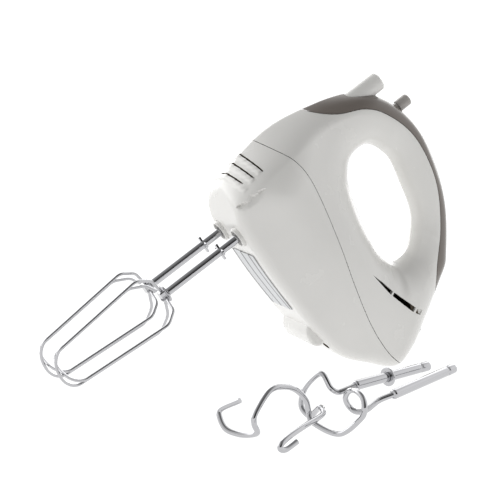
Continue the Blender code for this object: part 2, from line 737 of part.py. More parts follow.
def wheel_outline(phase):
    """The worm wheel's toothed outline, a tooth centred on the phase angle in degrees."""
    pitch_angle = 360 / WHEEL_TEETH
    half_tooth = math.degrees((WORM_PITCH / 2 - BACKLASH) / 2 / WHEEL_PITCH_RADIUS)
    outline = []
    for k in range(WHEEL_TEETH):
        middle = phase + k * pitch_angle
        outline += arc(WHEEL_PITCH_RADIUS - 0.9, middle - half_tooth * 1.45, middle - half_tooth * 1.45, 1)
        outline += arc(WHEEL_PITCH_RADIUS + 0.65, middle - half_tooth * 0.55, middle + half_tooth * 0.55, 2)
        outline += arc(WHEEL_PITCH_RADIUS - 0.9, middle + half_tooth * 1.45, middle + half_tooth * 1.45, 1)
    return outline


def make_spindle(side, looks, parent):
    """A worm wheel on the hollow sleeve that takes a beater's shaft."""
    origin = parent.location * 1000
    centre = tuple(origin)
    twist = WHEEL_WIDTH * WORM_PITCH / (2 * math.pi * WORM_PITCH_RADIUS) / WHEEL_PITCH_RADIUS
    phase = 7.5 if side == "right" else 0.0
    outline = wheel_outline(phase - math.degrees(twist) / 2)
    bm = shape(prism, outline, -WHEEL_WIDTH / 2, WHEEL_WIDTH / 2, twist=twist)
    wheel = mesh_object(f"worm_wheel_{side}", bm, looks["nylon"], parent)
    profile = [(SLEEVE_RADIUS + 0.3, -20), (SLEEVE_RADIUS + 0.3, 20)]
    bore = lathe_object(f"wheel_bore_{side}", profile, None, parent, (0, 0, 0), (0, 0, 1), 20)
    combine(wheel, bore, "DIFFERENCE")
    profile = tube_profile(BORE_RADIUS, SLEEVE_RADIUS, 3.0 - centre[2], 50.0 - centre[2])
    lathe_object(f"drive_sleeve_{side}", profile, looks["steel"], parent, (0, 0, 0), (0, 0, 1), 20, True)


# ---- beaters ----------------------------------------------------------------------------------

def loop_path(angle, drop):
    """Half of a wire loop and its mirror image, in the plane turned by the angle round the axis."""
    half = [(radius, z) for radius, z in LOOP_PROFILE]
    bottom = half[-1]
    depth = bottom[1] - (LOOP_TIP_Z + drop)
    for k in range(1, 6):
        turn = math.radians(90 * k / 6)
        half.append((bottom[0] * math.cos(turn) ** 0.9, bottom[1] - depth * math.sin(turn) ** 0.95))
    whole = half + [(0.0, LOOP_TIP_Z + drop)] + [(-radius, z) for radius, z in reversed(half)]
    direction = (math.cos(math.radians(angle)), math.sin(math.radians(angle)))
    return [(radius * direction[0], radius * direction[1], z) for radius, z in rounded(whole)]


def rounded(points):
    """Cuts each sharp corner of a flat path into a short two-step bend."""
    path = [points[0]]
    for before, here, after in zip(points, points[1:], points[2:]):
        a, b, c = Vector(before), Vector(here), Vector(after)
        if (b - a).angle(c - b) < math.radians(24):
            path.append(here)
            continue
        reach = min(2.6, (b - a).length * 0.4, (c - b).length * 0.4)
        start = b + (a - b).normalized() * reach
        end = b + (c - b).normalized() * reach
        path += [tuple(start), tuple((start + end + 2 * b) / 4), tuple(end)]
    path.append(points[-1])
    return path


def make_beater(side, looks, parent):
    """A beater drawn from its spindle's axis point, which lies above the exit plane."""
    down = -parent.location.z * 1000
    top, radius, low = EXIT_DEPTH + down, BEATER_SHAFT_RADIUS, HUB_Z + down
    profile = [(radius, low), (radius, top - 2), (2.0, top)]
    shaft = lathe_object(f"beater_shaft_{side}", profile, looks["chrome"], parent, (0, 0, 0), (0, 0, 1), 14)
    outline = []
    for k in range(4):
        outline += arc(6.4, 90 * k - 14, 90 * k + 14, 3)
        outline += arc(3.6, 90 * k + 33, 90 * k + 57, 2)
    middle = COLLAR_Z + down
    wings = mesh_object(f"wings_{side}", shape(prism, outline, middle - 0.7, middle + 0.7), None, parent)
    combine(shaft, wings, "UNION")
    half = HUB_BLOCK / 2
    block_top = low - 0.4
    block = box_object(f"beater_hub_{side}", (-half, -half, block_top - 5.5), (half, half, block_top),
                       looks["chrome"], parent)
    profile = [(6.3, low - 2.2), (6.3, low - 0.9)]
    disc = lathe_object(f"hub_disc_{side}", profile, None, parent, (0, 0, 0), (0, 0, 1), 16)
    combine(block, disc, "UNION")
    for name, turn, drop in (("a", LOOP_ANGLE, 0.0), ("b", LOOP_ANGLE + 90, 2 * WIRE_RADIUS + 0.35)):
        path = [(x, y, z + down) for x, y, z in loop_path(turn, drop)]
        wire_object(f"beater_loop_{side}_{name}", path, WIRE_RADIUS, 1, looks["chrome"], parent)


# ---- ejector and speed control ----------------------------------------------------------------

def make_ejector(looks, parent, button_axis):
    """The button, the rod and fork it pushes down, and the spring that lifts it again."""
    down = -button_axis.location.z * 1000
    radius, top, low = EJECT_BUTTON_RADIUS, EJECT_BUTTON_TOP + down, EJECT_FLANGE_LOW + down
    profile = [(8.0, low), (8.0, low + 2.6), (radius, low + 2.6), (radius, top - 2.5),
               (radius - 0.9, top - 0.7), (radius - 2.8, top)]
    lathe_object("eject_button", profile, looks["white"], button_axis, (0, 0, 0), (0, 0, 1), 20)
    profile = [(2.2, 60 + down), (2.2, low - 0.4)]
    fork = lathe_object("eject_fork", profile, looks["steel"], button_axis, (0, 0, 0), (0, 0, 1), 12)
    bar_x = -EJECT_X
    bar_low, bar_high = 59 + down, 63 + down
    for name, low, high in (("fork_arm", (-2.5, -2.5, bar_low), (bar_x + 2, 2.5, bar_high)),
                            ("fork_bar", (bar_x - 3, -17.5, bar_low), (bar_x + 3, 17.5, bar_high))):
        combine(fork, box_object(name, low, high, None, button_axis), "UNION")
    for side, sign in SIDES.items():
        profile = [(2.4, EXIT_DEPTH + EJECT_TRAVEL + 0.6 + down), (2.4, 61 + down)]
        pin = lathe_object(f"fork_pin_{side}", profile, None, button_axis,
                           (bar_x, sign * SPINDLE_SPACING / 2, 0), (0, 0, 1), 12)
        combine(fork, pin, "UNION")
    coil = coil_path(4.2, SPRING_HIGH - SPRING_LOW - 1, 5, 9)
    path = [(EJECT_X + u, v, SPRING_LOW + 0.5 + w) for u, v, w in coil]
    wire_object("eject_spring", path, 0.5, 0, looks["steel"], parent)


def make_speed_control(looks, parent, knob_axis):
    """The knob stands upright on a small sledge that lies along the slope of the handle."""
    profile = [(2.8, -10.5), (2.8, 0.6), (4.1, 0.6), (4.1, 9.2), (3.6, 10.0), (2.4, 10.4)]
    knob = lathe_object("speed_knob", profile, looks["grey"], knob_axis, (0, 0, 0), (0, 0, 1), 16)
    sledge = box_object("knob_sledge", (-5.5, -5, -12.4), (6.5, 5, -9.4), None, knob_axis)
    combine(knob, sledge, "UNION")
    box_object("speed_switch", (KNOB_X - 3, -6, 129.4), (KNOB_X + 19, 6, 133.6), looks["black"], parent)


def make_electronics(looks, parent):
    box_object("circuit_board", (99, -12, 50), (128, 12, 51.6), looks["brown"], parent)
    profile = [(5.0, 52), (5.0, 64)]
    lathe_object("suppressor_capacitor", profile, looks["black"], parent, (112, 0, 0), (0, 0, 1), 16)


# ---- dough hooks ------------------------------------------------------------------------------

HOOK_SHAFT_RADIUS = 3.1
HOOK_ROD_RADIUS = 1.8
HOOK_COLLAR_RADIUS = 6.0
HOOK_COLLAR_PLACE = 0.56

# Each hook lies where its spiral stands on the table. The first two points are the ends of its
# shaft, and the rod runs on from there through the others: down one side of the spiral, up the other.
HOOK_RIGHT = [
    (72, -155, 33), (11.5, -174.5, 28.5), (5, -175.5, 26.5), (-0.5, -175.5, 25.5), (-5, -174.5, 28.5),
    (-9.5, -170, 36.5), (-15, -160, 26), (-16.5, -158, 14), (-13, -163.5, 8.5), (-12.5, -170, 13),
    (-13.5, -178.5, 17.5), (-15, -186, 17.5), (-18.5, -191, 15.5), (-35, -202, 12.5),
    (-47.5, -209, 9), (-54, -212.5, 6), (-55, -213, 3), (-51, -212, 2), (-42.5, -209, 5.5),
]
HOOK_LEFT = [
    (82, -170, 34), (26.5, -196.5, 26.5), (18.5, -194, 23), (12.5, -189.5, 16.5), (8.5, -184.5, 14.5),
    (5, -181.5, 17), (1.5, -182.5, 23), (0.5, -189.5, 29), (0, -199.5, 31.5), (1, -207, 29),
    (1, -210, 23), (0, -207.5, 16), (-6.5, -192, 3.5), (-16.5, -176, 7.5), (-18, -172, 13.5),
    (-20.5, -172.5, 21.5), (-29, -175, 29), (-39, -178.5, 32), (-49, -181.5, 30.5),
    (-59.5, -185.5, 18.5), (-60, -185.5, 12), (-56.5, -182.5, 6), (-58, -175.5, 3), (-62.5, -168, 2),
    (-68, -161.5, 4), (-70, -156.5, 10), (-69, -155, 15), (-61.5, -166.5, 22.5),
]


def make_hook(side, points, looks, axis):
    """One dough hook: a tubular shaft and a rod with a bend every few millimetres."""
    end, front = Vector(points[0]), Vector(points[1])
    along = front - end
    length = along.length
    profile = [(2.2, 0), (HOOK_SHAFT_RADIUS, 0.9), (HOOK_SHAFT_RADIUS, 7), (2.5, 7.3), (2.5, 8.5),
               (HOOK_SHAFT_RADIUS, 8.8), (HOOK_SHAFT_RADIUS, length - 1), (2.4, length)]
    name = f"hook_shaft_{side}"
    lathe_object(name, profile, looks["chrome"], axis, tuple(end), tuple(along), 12)
    rod = [tuple(front + along.normalized() * 1.4)] + points[2:]
    wire_object(f"hook_spiral_{side}", smooth_path(rod, 4.6), HOOK_ROD_RADIUS, 1, looks["chrome"], axis)
    if side == "right":
        middle = end + along * HOOK_COLLAR_PLACE
        profile = tube_profile(HOOK_SHAFT_RADIUS + 0.3, HOOK_COLLAR_RADIUS, -0.8, 0.8)
        lathe_object("hook_collar", profile, looks["chrome"], axis, tuple(middle), tuple(along), 18, True)


# ---- the whole mixer --------------------------------------------------------------------------

def make_mixer():
    clear_scene()
    looks = make_materials()
    rest = empty("rest_pose", None, (REST_X, REST_Y, REST_Z), REST_TILT)
    make_housing(looks, rest)
    make_housing_fittings(looks, rest)
    make_motor(looks, rest)
    make_gear_frame(looks, rest)
    make_electronics(looks, rest)
    armature = empty("armature_axis", rest)
    make_armature(looks, armature)
    for side, sign in SIDES.items():
        spindle = empty(f"spindle_axis_{side}", rest, (0, sign * SPINDLE_SPACING / 2, AXIS_HEIGHT))
        make_spindle(side, looks, spindle)
        make_beater(side, looks, spindle)
    button_axis = empty("eject_axis", rest, (EJECT_X, 0, 120))
    make_ejector(looks, rest, button_axis)
    knob_axis = empty("knob_axis", rest, (KNOB_X, 0, 147))
    make_speed_control(looks, rest, knob_axis)
    for side, points in (("left", HOOK_LEFT), ("right", HOOK_RIGHT)):
        make_hook(side, points, looks, empty(f"hook_place_{side}", None, (REST_X, REST_Y, 0)))


make_mixer()
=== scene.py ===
"""Looks of the hand mixer: fine housing skins, round fittings, chrome wires, materials, light and camera.

Lengths are millimetres in the mixer's own frame, as in the CAD part: x runs back from the beaters
to the heel, y to the right-hand side and z up to the handle. Two matrices take them into the row frame.
"""

import math

import bmesh
import bpy
import numpy as np
from mathutils import Matrix, Vector


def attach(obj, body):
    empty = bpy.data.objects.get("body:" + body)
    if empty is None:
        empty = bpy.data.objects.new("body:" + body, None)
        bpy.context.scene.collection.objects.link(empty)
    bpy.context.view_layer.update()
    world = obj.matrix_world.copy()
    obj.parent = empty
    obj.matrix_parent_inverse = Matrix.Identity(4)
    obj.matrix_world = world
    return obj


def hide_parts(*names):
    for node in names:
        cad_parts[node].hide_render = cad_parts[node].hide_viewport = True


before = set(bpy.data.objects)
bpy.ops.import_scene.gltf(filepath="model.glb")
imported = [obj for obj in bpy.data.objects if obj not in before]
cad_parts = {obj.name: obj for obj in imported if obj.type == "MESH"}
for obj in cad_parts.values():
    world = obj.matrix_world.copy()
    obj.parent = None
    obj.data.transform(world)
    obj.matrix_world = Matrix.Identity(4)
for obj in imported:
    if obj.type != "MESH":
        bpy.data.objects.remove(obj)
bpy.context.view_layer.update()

# ---- driving dimensions, in millimetres and degrees -------------------------------------------

REST_TILT = 55.6
REST_X = -17.6
REST_Y = 88.2
REST_Z = 94.24

WALL = 2.6
TRIM_WALL = 2.8
GAP = 0.4

HOLE_CENTRE = (46.0, 102.0)
OUTLINE = [
    (118.5, 108.5), (112, 117.5), (102.5, 124.5), (77, 139.5), (47.5, 148.5), (20, 151), (-4, 145),
    (-27, 128),
    (-40, 108), (-47, 84), (-48.0, 55), (-40, 28.5), (-26.5, 10.5), (-11.5, 3.5), (20, 2.5), (58, 5),
    (88, 9), (110, 15), (129, 29.5), (148.0, 51), (145, 64), (133.5, 85),
]
HANDLE_HOLE = [
    (88.5, 97), (74, 113), (46, 120.5), (21, 121.5), (9, 114), (9, 101), (18, 92),
    (36, 86), (56, 83), (78, 83.5), (88, 87.5),
]
SEAM = [(-70, 36), (-40, 50), (-24, 57), (-8, 59), (12, 57), (40, 52), (72, 46), (104, 43),
        (132, 45), (149.5, 51), (170, 58)]
TRIM_EDGE = [(-64, 78), (-49, 83), (-36, 92), (-26, 105), (-18, 122), (-6, 133), (16, 142),
             (40, 142.5), (62, 137.5), (86, 125), (106, 108.5), (126, 96.5), (150, 86)]

HANDLE_HALF_WIDTH = 16.0
HOLE_EDGE_BLEND = 24.0
NOSE_BLEND = 30.0
SIDE_HALF_WIDTH = 41.0
SIDE_HEIGHT = 51.0
UNDERSIDE_HALF_WIDTH = 28.0
UNDERSIDE_HEIGHT = 4.0

SPINDLE_SPACING = 29.0
BEATER_TOP = 46.0
BEATER_SHAFT_RADIUS = 2.9
COLLAR_Z = -14.4
HUB_Z = -59.0
WIRE_RADIUS = 1.05
LOOP_PROFILE = [(3.6, -62.5), (9.5, -64.0), (17.0, -65.5), (25.0, -75.0), (18.3, -137.0)]
LOOP_TIP_Z = -149.0
LOOP_ANGLE = 22.5

EJECT_X = -22.5
EJECT_BUTTON_RADIUS = 6.7
EJECT_FLANGE_LOW = 109.6
EJECT_BUTTON_TOP = 146.5
KNOB_X = 1.0
KNOB_Z = 147.0
KNOB_TRAVEL = 12.0

SCREW_PLACE = (99.0, 17.0)
SCREW_SEAT = 17.0
BOSS_BASE = 44.5
INLET_PLACE = (139.5, 0, 76.5)
INLET_DIRECTION = (0.87, 0, 0.49)
LOUVRES = (21.5, 28.8, 36.2)
LOUVRE_HALF_WIDTH = 26.0

SKIN_SPACING = 1.5
SKIN_COLUMNS = 208
CAVITY_SPACING = 4.0
CAVITY_COLUMNS = 72
SIDES = {"left": -1, "right": 1}


def place_matrix(location, tilt=0.0):
    """Takes a shape drawn in millimetres to its place in the row frame, in metres."""
    turn = Matrix.Rotation(math.radians(tilt), 4, "Y")
    return Matrix.Translation(Vector(location) / 1000) @ turn @ Matrix.Scale(0.001, 4)


MIXER = place_matrix((REST_X, REST_Y, REST_Z), REST_TILT)
TABLE = place_matrix((REST_X, REST_Y, 0))


# ---- materials --------------------------------------------------------------------------------

def surface(name, colour, roughness, metallic=0.0, grain=1800.0, relief=0.00002, tint=0.03, **sockets):
    """A material whose colour and gloss drift a little and whose skin has a fine grain."""
    look = bpy.data.materials.new(name)
    look.use_nodes = True
    tree = look.node_tree
    shader = tree.nodes["Principled BSDF"]
    coordinates = tree.nodes.new("ShaderNodeTexCoord")

    drift = tree.nodes.new("ShaderNodeTexNoise")
    drift.inputs["Scale"].default_value = 38
    drift.inputs["Detail"].default_value = 4
    tree.links.new(coordinates.outputs["Object"], drift.inputs["Vector"])

    paint = tree.nodes.new("ShaderNodeMix")
    paint.data_type = "RGBA"
    paint.inputs["A"].default_value = (*[c * (1 - tint) for c in colour], 1)
    paint.inputs["B"].default_value = (*[min(1.0, c * (1 + tint)) for c in colour], 1)
    tree.links.new(drift.outputs["Fac"], paint.inputs["Factor"])
    tree.links.new(paint.outputs["Result"], shader.inputs["Base Color"])

    gloss = tree.nodes.new("ShaderNodeMapRange")
    gloss.inputs["To Min"].default_value = roughness * 0.8
    gloss.inputs["To Max"].default_value = roughness * 1.2
    tree.links.new(drift.outputs["Fac"], gloss.inputs["Value"])
    tree.links.new(gloss.outputs["Result"], shader.inputs["Roughness"])

    fine = tree.nodes.new("ShaderNodeTexNoise")
    fine.inputs["Scale"].default_value = grain
    fine.inputs["Detail"].default_value = 3
    tree.links.new(coordinates.outputs["Object"], fine.inputs["Vector"])
    bump = tree.nodes.new("ShaderNodeBump")
    bump.inputs["Strength"].default_value = 0.35
    bump.inputs["Distance"].default_value = relief
    tree.links.new(fine.outputs["Fac"], bump.inputs["Height"])
    tree.links.new(bump.outputs["Normal"], shader.inputs["Normal"])

    shader.inputs["Metallic"].default_value = metallic
    for socket, value in sockets.items():
        shader.inputs[socket.replace("_", " ").title()].default_value = value
    return look


def label_material():
    """Brushed silver foil with a few thin curved rules across it and no lettering."""
    look = surface("label_foil", (0.62, 0.63, 0.64), 0.36, 0.6, grain=700, relief=0.00003)
    tree = look.node_tree
    shader = tree.nodes["Principled BSDF"]
    coordinates = tree.nodes.new("ShaderNodeTexCoord")
    rings = tree.nodes.new("ShaderNodeTexWave")
    rings.wave_type = "RINGS"
    rings.rings_direction = "Z"
    rings.inputs["Scale"].default_value = 24
    rings.inputs["Distortion"].default_value = 1.2
    rings.inputs["Detail Scale"].default_value = 0.6
    tree.links.new(coordinates.outputs["Object"], rings.inputs["Vector"])
    ramp = tree.nodes.new("ShaderNodeValToRGB")
    ramp.color_ramp.elements[0].position = 0.04
    ramp.color_ramp.elements[0].color = (0.16, 0.16, 0.17, 1)
    ramp.color_ramp.elements[1].position = 0.12
    ramp.color_ramp.elements[1].color = (0.6, 0.61, 0.62, 1)
    tree.links.new(rings.outputs["Fac"], ramp.inputs["Fac"])
    tree.links.new(ramp.outputs["Color"], shader.inputs["Base Color"])
    return look


LOOKS = {
    "white": surface("white_shell", (0.75, 0.742, 0.718), 0.26, Coat_weight=0.25, Coat_roughness=0.12),
    "grey": surface("warm_grey_trim", (0.165, 0.142, 0.125), 0.25, Coat_weight=0.4, Coat_roughness=0.08),
    "peg": surface("grey_peg", (0.40, 0.38, 0.36), 0.30),
    "label": label_material(),
    # painted shade: this dark brown-black on the housing's inner faces stands in for the shade inside the
    # shell, not a colour of the plastic
    "inside": surface("housing_inside_painted_shade", (0.11, 0.085, 0.06), 0.7),
    "black": surface("black_moulding", (0.028, 0.028, 0.03), 0.45),
    "brown": surface("brown_laminate", (0.20, 0.11, 0.05), 0.5, grain=600, tint=0.15),
    "nylon": surface("gear_nylon", (0.72, 0.70, 0.62), 0.42),
    "chrome": surface("bright_chrome", (0.50, 0.50, 0.515), 0.07, 1.0, grain=260, relief=0.00001, tint=0.02),
    "steel": surface("turned_steel", (0.50, 0.50, 0.52), 0.32, 1.0, grain=900),
    "lamination": surface("stacked_lamination", (0.27, 0.28, 0.30), 0.5, 1.0, grain=2600, tint=0.2),
    "copper": surface("enamelled_copper", (0.62, 0.27, 0.12), 0.3, 1.0, grain=1500, tint=0.12),
    "bronze": surface("porous_bronze", (0.42, 0.28, 0.14), 0.55, 1.0, grain=2400, tint=0.15),
    "brass": surface("stamped_brass", (0.68, 0.50, 0.21), 0.35, 1.0, grain=900),
    "carbon": surface("pressed_carbon", (0.045, 0.045, 0.05), 0.7, tint=0.2),
    "rubber": surface("soft_rubber", (0.035, 0.035, 0.035), 0.7),
}
CAD_LOOKS = {
    "white_plastic": "white", "warm_grey_plastic": "grey", "silver_label": "label", "black_plastic": "black",
    "brown_board": "brown", "white_nylon": "nylon", "chrome": "chrome", "steel": "steel",
    "lamination_steel": "lamination", "copper": "copper", "sintered_bronze": "bronze", "brass": "brass",
    "carbon": "carbon", "rubber": "rubber",
}

RECORD_SLOTS = {look: slot for slot, look in CAD_LOOKS.items()}
RECORD_SLOTS["peg"] = "warm_grey_plastic"


def paint_cad_nodes():
    """Gives each carried-over node the procedural material that stands for its plain one."""
    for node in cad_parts.values():
        for slot in node.material_slots:
            slot.material = LOOKS[CAD_LOOKS[slot.material.name.split(".")[0]]]


# ---- curves and fields ------------------------------------------------------------------------

def smooth_loop(points, steps):
    """Points along a closed curve through the given ones, with the slope of a parabola at each."""
    points = np.array(points, float)
    ahead = np.roll(points, -1, 0) - points
    length = np.linalg.norm(ahead, axis=1)[:, None]
    slope = ahead / length
    length_before = np.roll(length, 1, 0)
    tangent = (slope * length_before + np.roll(slope, 1, 0) * length) / (length + length_before)
    t = (np.arange(steps) / steps)[None, :, None]
    start, end = points[:, None], np.roll(points, -1, 0)[:, None]
    leave, arrive = (tangent * length)[:, None], (np.roll(tangent, -1, 0) * length)[:, None]
    curve = start * (1 + 2 * t) * (1 - t) ** 2 + leave * t * (1 - t) ** 2
    curve = curve + end * t * t * (3 - 2 * t) + arrive * t * t * (t - 1)
    return curve.reshape(-1, 2)


class PolarCurve:
    """A closed outline round HOLE_CENTRE, read as its radius at any angle."""

    def __init__(self, points):
        self.angles = np.sort(self.polar(np.array(points, float))[0])
        self.table = self.polar(smooth_loop(points, 60))

    def polar(self, points):
        offsets = points - HOLE_CENTRE
        angles = np.arctan2(offsets[:, 1], offsets[:, 0]) % (2 * math.pi)
        return angles, np.hypot(offsets[:, 0], offsets[:, 1])

    def radius(self, angle):
        return np.interp(angle, *self.table, period=2 * math.pi)

    def distance(self, angle, r):
        """About how far a point lies outside the outline."""
        here = self.radius(angle)
        turn = (self.radius(angle + 0.01) - self.radius(angle - 0.01)) / 0.02
        return (r - here) * here / np.hypot(here, turn)

    def even_angles(self, spacing):
        """Angles of points at even steps along the outline."""
        dense = np.linspace(0, 2 * math.pi, 4001)
        radius = self.radius(dense)
        x, z = radius * np.cos(dense), radius * np.sin(dense)
        length = np.concatenate([[0], np.cumsum(np.hypot(np.diff(x), np.diff(z)))])
        count = round(length[-1] / spacing)
        return np.interp(np.arange(count) * length[-1] / count, length, dense)


OUTER = PolarCurve(OUTLINE)
INNER = PolarCurve(HANDLE_HOLE)


def smooth_max(a, b, blend):
    near = np.clip(1 - np.abs(a - b) / blend, 0, None)
    return np.maximum(a, b) + near * near * blend / 4


def smooth_min(a, b, blend):
    return -smooth_max(-a, -b, blend)


def ease(value, start, end):
    """Rises smoothly from 0 at start to 1 at end."""
    t = np.clip((value - start) / (end - start), 0, 1)
    return t * t * (3 - 2 * t)


def plane(x, y, z, normal, point):
    """Distance in front of a plane, given its normal and one point of it."""
    nx, ny, nz = np.array(normal) / np.linalg.norm(normal)
    return nx * (x - point[0]) + ny * (y - point[1]) + nz * (z - point[2])


def housing_field(x, y, z):
    """About the distance outside the skin of the closed housing, negative inside it."""
    y = np.abs(y)
    angle = np.arctan2(z - HOLE_CENTRE[1], x - HOLE_CENTRE[0])
    r = np.hypot(x - HOLE_CENTRE[0], z - HOLE_CENTRE[1])
    lean = (SIDE_HEIGHT - UNDERSIDE_HEIGHT, SIDE_HALF_WIDTH - UNDERSIDE_HALF_WIDTH)
    side = plane(x, y, z, (0, lean[0], -lean[1]), (0, SIDE_HALF_WIDTH, SIDE_HEIGHT))
    body = smooth_max(side, plane(x, y, z, (0, 0.97, 0.24), (0, SIDE_HALF_WIDTH, SIDE_HEIGHT)), 12)
    body = smooth_max(body, plane(x, y, z, (0, 0.75, 0.66), (0, 30, 72)), 24)
    body = smooth_max(body, plane(x, y, z, (-0.62, 0.78, 0), (-46, 19, 0)), 12)
    body = smooth_max(body, plane(x, y, z, (0.42, 0.907, 0), (95, 39, 0)), 30)
    lateral = smooth_min(body, y - HANDLE_HALF_WIDTH, 12)
    height = np.clip((z - 15) / 70, 0, 1)
    nose = np.clip((-14 - x) / 30, 0, 1)
    edge_blend = 7 + 9 * height * height * (3 - 2 * height) + NOSE_BLEND * nose * nose * (3 - 2 * nose)
    skin = smooth_max(OUTER.distance(angle, r), lateral, edge_blend)
    return smooth_max(skin, -INNER.distance(angle, r), HOLE_EDGE_BLEND)


def leaf_dimple(x, y, z):
    """The pointed scoop in each flank of the nose, steep along its front edge."""
    along = (z - 19.0) / 10.5
    bow = np.clip(1 - along * along, 0, 1)
    front = -21.2 - 0.14 * (z - 19.0) - 1.9 * bow
    across = (x - front) / np.maximum(5.4 * bow, 0.05)
    scoop = ease(across, 0.0, 0.22) * (1 - ease(across, 0.3, 1.0))
    return 2.1 * scoop * ease(bow, 0.0, 0.35) * (y > 18)


def louvre_ribs(x, y, z):
    """The raised lip under each air slot of the nose."""
    rise = 0.0
    for height in LOUVRES:
        low = ease(z, height - 4.6, height - 3.0)
        high = 1 - ease(z, height - 0.9, height - 0.5)
        rise = rise + low * high
    return -0.9 * rise * (1 - ease(y, LOUVRE_HALF_WIDTH - 0.8, LOUVRE_HALF_WIDTH)) * (1 - ease(x, -30, -24))


def skin_field(x, y, z):
    """The housing's field with the small shapes of its skin."""
    side = np.abs(y)
    return housing_field(x, y, z) + leaf_dimple(x, side, z) + louvre_ribs(x, side, z)


def skin_points(field, angles, turns, depth):
    """Points where rays from the middle of the housing's ring meet the level at a depth under its skin."""
    angle = angles[:, None]
    turn = turns[None, :]
    inner = INNER.radius(angle)
    outer = OUTER.radius(angle)
    start = inner + 0.45 * (outer - inner)
    along = np.cos(turn) * (outer - inner) / 2
    across = np.sin(turn) * np.clip((outer - inner) / 2, 14, 36)
    length = np.hypot(along, across)
    along = along / length
    across = across / length
    near = np.zeros_like(length)
    far = np.minimum(110.0, (start - 1.0) / np.maximum(-along, 0.001))
    for _ in range(26):
        middle = (near + far) / 2
        r = start + along * middle
        x = HOLE_CENTRE[0] + r * np.cos(angle)
        z = HOLE_CENTRE[1] + r * np.sin(angle)
        inside = field(x, across * middle, z) < -depth
        near = np.where(inside, middle, near)
        far = np.where(inside, far, middle)
    return np.stack([x, across * middle, z], axis=-1)


def smooth_path(points, spacing):
    """Points at even steps along a Catmull-Rom curve through the given ones."""
    points = np.array(points, float)
    ends = np.vstack([2 * points[0] - points[1], points, 2 * points[-1] - points[-2]])
    path = []
    for a, b, c, d in zip(ends, ends[1:], ends[2:], ends[3:]):
        count = max(1, round(np.linalg.norm(c - b) / spacing))
        for t in np.arange(count) / count:
            path.append(0.5 * (2 * b + (c - a) * t + (2 * a - 5 * b + 4 * c - d) * t ** 2
                               + (3 * b - a - 3 * c + d) * t ** 3))
    path.append(points[-1])
    return np.array(path)


def moved_sideways(path, distance):
    """The plane path moved to its left by a distance."""
    along = np.gradient(path, axis=0)
    along /= np.linalg.norm(along, axis=1)[:, None]
    return path + distance * np.stack([-along[:, 1], along[:, 0]], axis=1)


# ---- drawing in bmesh -------------------------------------------------------------------------

def axis_matrix(axis, centre):
    """Takes a shape drawn along +Z round the origin to one along the axis at the centre."""
    turn = Vector((0, 0, 1)).rotation_difference(Vector(axis)).to_matrix().to_4x4()
    return Matrix.Translation(Vector(centre)) @ turn


def rounded_profile(points, radius, closed=False, steps=4):
    """Replaces each corner of a flat outline with an arc-like bend."""
    count = len(points)
    path = []
    for k, here in enumerate(points):
        if not closed and k in (0, count - 1):
            path.append(here)
            continue
        b = Vector(here)
        a = Vector(points[k - 1])
        c = Vector(points[(k + 1) % count])
        reach = min(radius, (b - a).length * 0.45, (c - b).length * 0.45)
        start = b + (a - b).normalized() * reach
        end = b + (c - b).normalized() * reach
        for step in range(steps + 1):
            t = step / steps
            path.append(tuple(start * (1 - t) ** 2 + b * 2 * t * (1 - t) + end * t * t))
    return path


def lathe(bm, profile, centre=(0, 0, 0), axis=(0, 0, 1), sides=56, closed=False):
    """Turns (radius, height) points round an axis: a closed ring, or a body with flat ends."""
    place = axis_matrix(axis, centre)
    loops = []
    for radius, height in profile:
        angles = [2 * math.pi * k / sides for k in range(sides)]
        ring = [Vector((radius * math.cos(a), radius * math.sin(a), height)) for a in angles]
        loops.append([bm.verts.new(place @ point) for point in ring])
    pairs = list(zip(loops, loops[1:]))
    if closed:
        pairs.append((loops[-1], loops[0]))
    else:
        bm.faces.new(loops[0])
        bm.faces.new(loops[-1])
    for low, high in pairs:
        for k in range(sides):
            bm.faces.new((low[k - 1], low[k], high[k], high[k - 1]))


def prism(bm, outline, low, high):
    """Extrudes a flat outline along Z."""
    ends = [[bm.verts.new((u, v, height)) for u, v in outline] for height in (low, high)]
    bm.faces.new(ends[0])
    bm.faces.new(ends[1])
    for k in range(len(outline)):
        bm.faces.new((ends[0][k - 1], ends[0][k], ends[1][k], ends[1][k - 1]))


def side_prism(bm, outline, half_width, middle=0.0):
    """Extrudes an (x, z) outline to both sides of a plane across the mixer."""
    ends = [[bm.verts.new((x, middle + y, z)) for x, z in outline] for y in (-half_width, half_width)]
    bm.faces.new(ends[0])
    bm.faces.new(ends[1])
    for k in range(len(outline)):
        bm.faces.new((ends[0][k - 1], ends[0][k], ends[1][k], ends[1][k - 1]))


def box(bm, low, high):
    size = Vector(high) - Vector(low)
    middle = (Vector(high) + Vector(low)) / 2
    bmesh.ops.create_cube(bm, size=1, matrix=Matrix.Translation(middle) @ Matrix.Diagonal((*size, 1)))


def arc(radius, start, end, count):
    angles = np.radians(np.linspace(start, end, count))
    return [(radius * math.cos(a), radius * math.sin(a)) for a in angles]


def shape(draw, *arguments, **options):
    bm = bmesh.new()
    draw(bm, *arguments, **options)
    return bm


def mesh_of(name, bm, place):
    bmesh.ops.recalc_face_normals(bm, faces=bm.faces)
    data = bpy.data.meshes.new(name)
    bm.to_mesh(data)
    bm.free()
    data.transform(place)
    data.shade_smooth()
    data.set_sharp_from_angle(angle=math.radians(38))
    return data


def add_object(name, data):
    made = bpy.data.objects.new(name, data)
    bpy.context.scene.collection.objects.link(made)
    return made


def piece(name, data, look, body, *nodes):
    """Shows the mesh or curve in place of CAD nodes, riding on their body."""
    made = add_object(name, data)
    data.materials.clear()
    data.materials.append(LOOKS[look])
    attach(made, body)
    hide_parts(*nodes)
    return made


